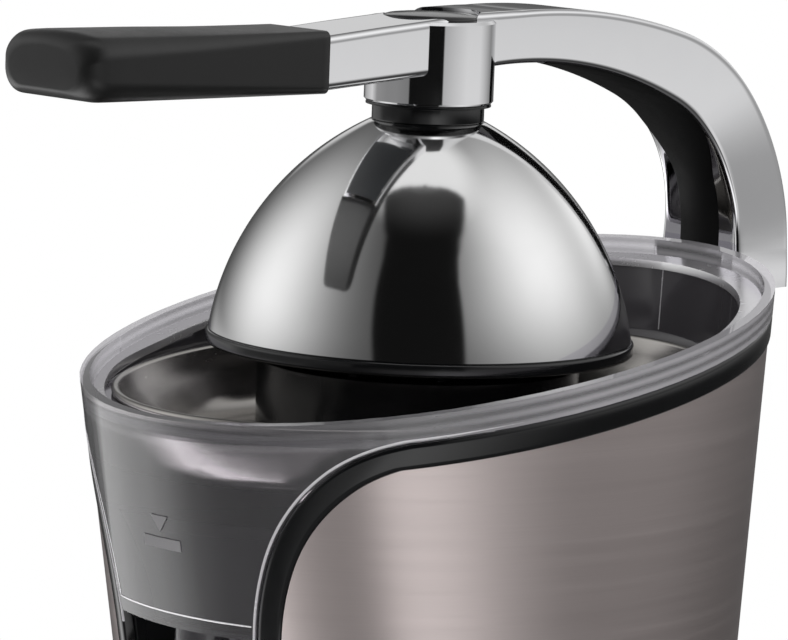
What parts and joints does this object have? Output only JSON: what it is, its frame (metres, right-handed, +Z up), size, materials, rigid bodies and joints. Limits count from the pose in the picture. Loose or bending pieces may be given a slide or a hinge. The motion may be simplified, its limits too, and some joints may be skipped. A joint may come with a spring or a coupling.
{
  "type": "electric citrus press",
  "caption": "Electric citrus press with a chrome lever arm, polished dome, clear juice bowl and brushed steel body.",
  "frame": {"origin": "on the table, under the axis of the press dome, at the middle of the overall box", "axes": "+Z up, front with the spout and the grip towards -Y, +X to the right seen from the front"},
  "size_m": [0.1686, 0.2761, 0.3329],
  "materials": {
    "panel_steel": "brushed round the body",
    "dome_steel": "polished",
    "arm_chrome": "polished die casting",
    "strainer_steel": "drawn sheet",
    "clear_bowl": "clear moulded plastic",
    "black_gloss": "gloss",
    "black_satin": "satin",
    "soft_grip": "soft touch",
    "black_rubber": "matte",
    "bare_steel": "turned",
    "bronze": "sintered",
    "gear_nylon": "moulded",
    "gearbox_plastic": "moulded",
    "motor_steel": "zinc plated",
    "switch_red": "moulded"
  },
  "bodies": {
    "housing": {"base_plate": "black_satin", "rubber_feet": "black_rubber", "base_screws": "bare_steel", "chassis": "black_satin", "bay_liner": "black_satin", "steel_shell": "panel_steel", "panel_trim": "black_gloss", "juice_bowl": "clear_bowl", "strainer_dish": "strainer_steel", "strainer_screen": "strainer_steel", "shaft_seal": "black_rubber", "upper_bush": "bronze", "lower_bush": "bronze", "counter_axle": "bare_steel", "motor_can": "motor_steel", "gearbox_housing": "gearbox_plastic", "gearbox_cover": "gearbox_plastic", "gearbox_screws": "bare_steel", "switch_body": "gearbox_plastic", "cord_gland": "black_rubber", "hinge_bracket": "black_satin", "bracket_screws": "bare_steel", "spout_pin": "bare_steel"},
    "arm": {"arm_casting": "arm_chrome", "hinge_pin": "bare_steel", "top_insert": "black_gloss", "handle_grip": "soft_grip", "press_cup": "black_satin", "dome_shell": "dome_steel", "dome_bolt": "bare_steel"},
    "output": {"output_gear": "gear_nylon"},
    "reamer": {"drive_shaft": "bare_steel", "reamer_cone": "black_satin"},
    "counter": {"counter_gear": "gear_nylon"},
    "rotor": {"motor_shaft": "bare_steel", "motor_pinion": "bronze"},
    "plunger": {"switch_plunger": "switch_red"},
    "spout": {"drip_spout": "strainer_steel"}
  },
  "joints": [
    {"name": "arm_lift", "type": "hinge", "parent": "housing", "child": "arm", "pos_m": [0, 0.1251, 0.26], "axis": [-1, 0, 0], "range_deg": [0, 70]},
    {"name": "output_spin", "type": "hinge", "parent": "housing", "child": "output", "pos_m": [0, 0, 0.15], "axis": [0, 0, 1], "continuous": true},
    {"name": "reamer_press", "type": "slide", "parent": "output", "child": "reamer", "axis": [0, 0, -1], "range_m": [0, 0.003], "stiffness_N_per_m": 4000, "springref_m": -0.001},
    {"name": "counter_spin", "type": "hinge", "parent": "housing", "child": "counter", "pos_m": [0, 0.033, 0.15], "axis": [0, 0, 1], "continuous": true},
    {"name": "motor_spin", "type": "hinge", "parent": "housing", "child": "rotor", "pos_m": [0, 0.061, 0.1], "axis": [0, 0, 1], "continuous": true},
    {"name": "switch_press", "type": "slide", "parent": "housing", "child": "plunger", "axis": [0, 0, -1], "range_m": [0, 0.003], "stiffness_N_per_m": 100},
    {"name": "spout_tilt", "type": "hinge", "parent": "housing", "child": "spout", "pos_m": [0, -0.072, 0.157], "axis": [-1, 0, 0], "range_deg": [0, 40]}
  ],
  "couplings": [
    {"joint": "counter_spin", "follows": "output_spin", "ratio": -3.125},
    {"joint": "motor_spin", "follows": "output_spin", "ratio": 11.458},
    {"joint": "switch_press", "follows": "reamer_press", "ratio": 1}
  ]
}
